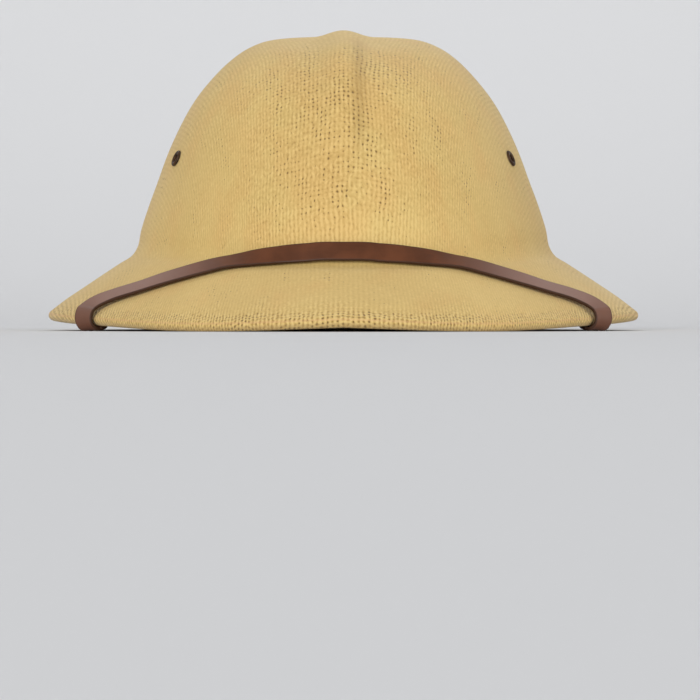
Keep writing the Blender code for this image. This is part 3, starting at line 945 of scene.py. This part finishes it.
def clean_cut(obj, cutters):
    """Cut round holes through a piece and keep the result as its mesh."""
    for cutter in cutters:
        hole = obj.modifiers.new("Hole", "BOOLEAN")
        hole.operation = "DIFFERENCE"
        hole.object = cutter
    graph = bpy.context.evaluated_depsgraph_get()
    cut = bpy.data.meshes.new_from_object(obj.evaluated_get(graph), depsgraph=graph)
    obj.modifiers.clear()
    cut.name = obj.name
    obj.data = cut
    for cutter in cutters:
        bpy.data.objects.remove(cutter)


def round_cutter(radius, placing):
    made = bmesh.new()
    bmesh.ops.create_cone(
        made,
        cap_ends=True,
        segments=TURNED_STEPS,
        radius1=radius,
        radius2=radius,
        depth=CUTTER_DEPTH,
        matrix=placing,
    )
    return new_object("cutter", made)


def upright_on(middle, axis):
    """The placing whose Z axis is this one and whose origin is this point."""
    return Matrix.Translation(middle) @ axis.to_track_quat("Z", "Y").to_matrix().to_4x4()


def eyelet_section(helmet):
    """Half an eyelet's section: its rolled flange, its barrel and its flat flange inside."""
    sizes = helmet.metal
    gap = helmet.strap.gap
    bore = sizes.bore / 2
    barrel = bore + sizes.metal
    flange = sizes.flange / 2
    roll = (flange - bore) / 2
    bottom = -helmet.shell.wall - gap
    inner = barrel + 0.6 * (flange - barrel)
    section = [(bore + roll + roll * x, gap + sizes.height * y) for x, y in arc(180, 0, FLANGE_STEPS)]
    section += [(barrel, gap), (barrel, bottom), (inner, bottom)]
    return section + [(inner - 0.3 * sizes.metal, bottom - sizes.metal), (bore, bottom - sizes.metal)]


def rivet_section(sizes, under, depth):
    """Half a rivet's section: its low round head above this height, and its shank down to this depth."""
    head = sizes.rivet_head / 2
    shank = sizes.rivet_shank / 2
    dome = [(head * x, under + sizes.rivet_height * y) for x, y in arc(90, 0, HEAD_STEPS)[1:]]
    return [(0.0, under + sizes.rivet_height)] + dome + [(shank, under), (shank, depth), (0.0, depth)]


class HELMET_OT_shell(bpy.types.Operator):
    """Make the pressed shell under its woven straw, with the holes for the eyelets"""

    bl_idname = "helmet.shell"
    bl_label = "Straw Shell"

    def execute(self, context):
        helmet = context.scene.helmet
        obj = build_shell(helmet.shell)
        cutters = []
        for name in EYELETS:
            middle, axis, _ = node_axis(name, INSIDE_POINT)
            radius = helmet.metal.bore / 2 + helmet.metal.metal + helmet.strap.gap
            cutters.append(round_cutter(radius, upright_on(middle, axis)))
        clean_cut(obj, cutters)
        obj.data.materials.append(straw_finish(helmet.finishes))
        hand_over(obj, "straw", "shell")
        return {"FINISHED"}


class HELMET_OT_strap(bpy.types.Operator):
    """Make the leather chin strap, stowed over the front of the brim"""

    bl_idname = "helmet.strap"
    bl_label = "Chin Strap"

    def execute(self, context):
        helmet = context.scene.helmet
        obj = build_strap(ShellForm(helmet.shell), helmet.strap)
        obj.data.materials.append(leather_finish(helmet.finishes, helmet.strap))
        hand_over(obj, "strap_leather", "chin_strap")
        return {"FINISHED"}


class HELMET_OT_metal(bpy.types.Operator):
    """Make the bronze eyelets of the crown and the rivets of the strap"""

    bl_idname = "helmet.metal"
    bl_label = "Eyelets and Rivets"

    def execute(self, context):
        helmet = context.scene.helmet
        sizes = helmet.metal
        bronze = bronze_finish(helmet.finishes)
        gap = helmet.strap.gap
        section = eyelet_section(helmet)
        for name in EYELETS:
            middle, axis, reach = node_axis(name, INSIDE_POINT)
            base = middle + axis * (reach - gap - sizes.height)
            obj = turned_piece(name.replace("eyelet", "bronze_eyelet"), section, upright_on(base, axis))
            obj.data.materials.append(bronze)
            hand_over(obj, "bronze", name)
        under = gap + helmet.strap.thickness + gap
        for name in RIVETS:
            middle, outwards, _ = node_axis(name, INSIDE_POINT)
            axis = -outwards
            spans = (node_points(name) - np.array(middle)) @ np.array(axis)
            foot = spans.max() - under - sizes.rivet_height
            section = rivet_section(sizes, under, spans.min() - foot)
            placing = upright_on(middle + axis * foot, axis)
            obj = turned_piece(name.replace("strap_rivet", "bronze_rivet"), section, placing)
            obj.data.materials.append(bronze)
            hand_over(obj, "bronze", name)
        return {"FINISHED"}


class HELMET_OT_stage(bpy.types.Operator):
    """Make the pale floor, the soft lights and the camera"""

    bl_idname = "helmet.stage"
    bl_label = "Stage"

    def execute(self, context):
        scene = context.scene
        build_floor()
        build_lights(scene)
        build_camera(scene, scene.helmet.stage)
        return {"FINISHED"}


def build_floor():
    """One sheet that runs flat under the helmet and then curves up behind it."""
    made = bmesh.new()
    ends = [made.verts.new((side * FLOOR.half, FLOOR.near, 0)) for side in (-1, 1)]
    edge = made.edges.new(ends)

    def drawn(edge, offset):
        fresh = bmesh.ops.extrude_edge_only(made, edges=[edge])["geom"]
        moved = [item for item in fresh if isinstance(item, bmesh.types.BMVert)]
        bmesh.ops.translate(made, vec=offset, verts=moved)
        return next(item for item in fresh if isinstance(item, bmesh.types.BMEdge))

    edge = drawn(edge, (0, FLOOR.far - FLOOR.near, 0))
    turned = bmesh.ops.spin(
        made,
        geom=[edge, *edge.verts],
        cent=(0, FLOOR.far, FLOOR.bend),
        axis=(1, 0, 0),
        angle=math.pi / 2,
        steps=FLOOR_STEPS,
    )["geom_last"]
    edge = next(item for item in turned if isinstance(item, bmesh.types.BMEdge))
    drawn(edge, (0, 0, FLOOR.top))
    bmesh.ops.remove_doubles(made, verts=made.verts[:], dist=FLOOR_MERGED)
    bmesh.ops.recalc_face_normals(made, faces=made.faces[:])
    obj = new_object("floor", made)
    obj.data.materials.append(floor_finish())


def build_lights(scene):
    for light in LIGHTS:
        lamp = bpy.data.lights.new(light.name, "AREA")
        lamp.shape = "DISK"
        lamp.size = light.size
        lamp.energy = light.power
        obj = bpy.data.objects.new(light.name, lamp)
        obj.location = light.place
        obj.rotation_euler = (Vector(light.aim) - Vector(light.place)).to_track_quat("-Z", "Y").to_euler()
        scene.collection.objects.link(obj)
    world = bpy.data.worlds.new("studio")
    world.use_nodes = True
    background = world.node_tree.nodes["Background"]
    background.inputs["Color"].default_value = rgba(SKY_COLOUR)
    background.inputs["Strength"].default_value = SKY_STRENGTH
    scene.world = world
    scene.view_settings.view_transform = "Standard"


def build_camera(scene, sizes):
    lens = bpy.data.cameras.new("camera")
    lens.lens = sizes.lens
    lens.sensor_width = SENSOR_WIDTH
    lens.clip_start = 0.01
    camera = bpy.data.objects.new("camera", lens)
    camera.location = (0, -sizes.camera_distance, sizes.camera_height)
    aim = Vector((sizes.aim_aside, 0, sizes.aim_height))
    camera.rotation_euler = (aim - camera.location).to_track_quat("-Z", "Y").to_euler()
    scene.collection.objects.link(camera)
    scene.camera = camera


class Helmet(bpy.types.PropertyGroup):
    shell: PointerProperty(type=ShellSizes)
    strap: PointerProperty(type=StrapSizes)
    metal: PointerProperty(type=MetalSizes)
    finishes: PointerProperty(type=Finishes)
    stage: PointerProperty(type=StageSizes)


OPERATORS = (HELMET_OT_shell, HELMET_OT_strap, HELMET_OT_metal, HELMET_OT_stage)


class HELMET_PT_panel(bpy.types.Panel):
    """Lists the helmet's pieces and their sizes"""

    bl_idname = "HELMET_PT_panel"
    bl_label = "Pith Helmet"
    bl_space_type = "VIEW_3D"
    bl_region_type = "UI"
    bl_category = "Helmet"

    def draw(self, context):
        for operator in OPERATORS:
            self.layout.operator(operator.bl_idname)
        helmet = context.scene.helmet
        for group in (helmet.shell, helmet.strap, helmet.metal, helmet.finishes, helmet.stage):
            box = self.layout.box()
            for name in group.bl_rna.properties.keys():
                if name not in ("rna_type", "name"):
                    box.prop(group, name)


CLASSES = (ShellSizes, StrapSizes, MetalSizes, Finishes, StageSizes, Helmet, *OPERATORS, HELMET_PT_panel)


def register():
    for each in CLASSES:
        bpy.utils.register_class(each)
    bpy.types.Scene.helmet = PointerProperty(type=Helmet)


def unregister():
    del bpy.types.Scene.helmet
    for each in reversed(CLASSES):
        bpy.utils.unregister_class(each)


def main():
    register()
    bpy.ops.helmet.shell()
    bpy.ops.helmet.strap()
    bpy.ops.helmet.metal()
    bpy.ops.helmet.stage()


if __name__ == "__main__":
    main()
